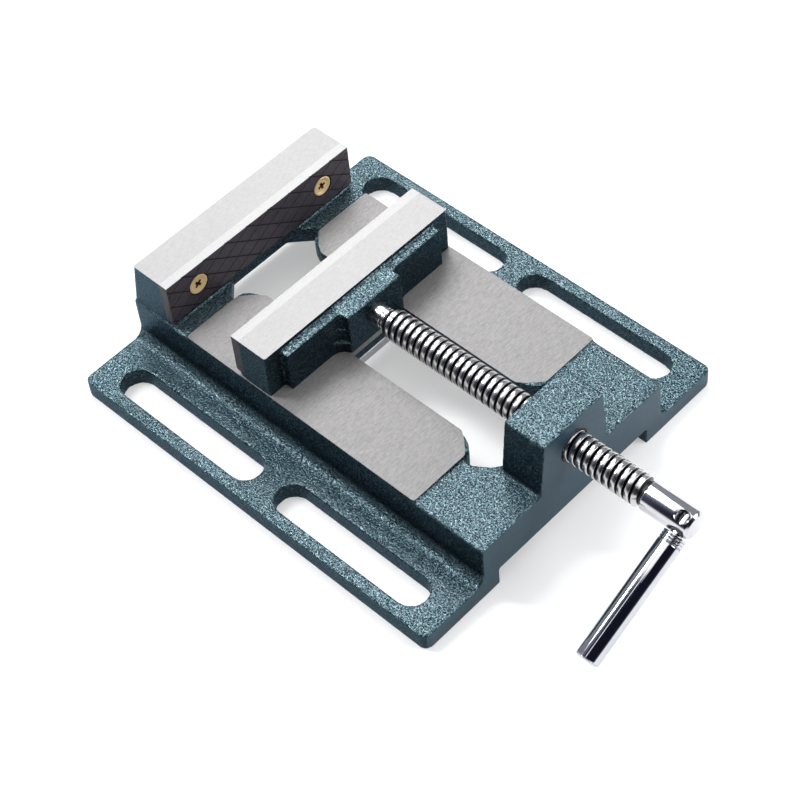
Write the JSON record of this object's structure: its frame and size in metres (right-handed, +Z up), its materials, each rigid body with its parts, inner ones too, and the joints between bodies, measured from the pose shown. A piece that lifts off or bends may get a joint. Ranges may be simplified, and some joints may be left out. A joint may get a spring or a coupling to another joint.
{
  "type": "drill press machine vise",
  "caption": "Flat machine vise with slotted clamping flanges, a fixed and a sliding jaw with black plates, a lead screw through a nut block and a plug-in tommy lever.",
  "frame": {"origin": "centre of the pattern of clamping slots, in the plane of the base's underside", "axes": "+X along the lead screw from the fixed jaw toward the lever, +Z up out of the base, +Y completes the right-handed frame"},
  "size_m": [0.242, 0.164, 0.0554],
  "materials": {
    "hammertone": "hammertone enamel over cast iron, with ground steel-grey working faces",
    "black_oxide": "black oxide with crossed grooves",
    "brass": "satin",
    "bright_steel": "polished",
    "chrome": "mirror",
    "plain_steel": "plain"
  },
  "bodies": {
    "frame": {"frame_casting": "hammertone", "fixed_jaw_plate": "black_oxide", "fixed_plate_screw_near": "brass", "fixed_plate_screw_far": "brass"},
    "movable_jaw": {"movable_jaw_casting": "hammertone", "movable_jaw_plate": "black_oxide", "movable_plate_screw_near": "brass", "movable_plate_screw_far": "brass", "keep_plate": "plain_steel", "keep_bolt_near": "plain_steel", "keep_bolt_far": "plain_steel", "spring_washer_near": "plain_steel", "spring_washer_far": "plain_steel", "retaining_pin_near": "plain_steel", "retaining_pin_far": "plain_steel"},
    "screw": {"lead_screw": "bright_steel"},
    "lever": {"lever_spigot": "bright_steel", "lever_collar": "chrome", "lever_grip": "chrome", "lever_end_plug": "chrome"}
  },
  "joints": [
    {"name": "jaw_slide", "type": "slide", "parent": "frame", "child": "movable_jaw", "axis": [1, 0, 0], "range_m": [-0.0359, 0.065]},
    {"name": "screw_spin", "type": "hinge", "parent": "movable_jaw", "child": "screw", "pos_m": [0, 0, 0.041], "axis": [1, 0, 0], "range_deg": [-4080, 7380]},
    {"name": "lever_slide", "type": "slide", "parent": "screw", "child": "lever", "axis": [0, -0.8988, -0.4384], "range_m": [0, 0.011]}
  ],
  "couplings": [
    {"joint": "screw_spin", "follows": "jaw_slide", "rad_per_m": 1979}
  ]
}
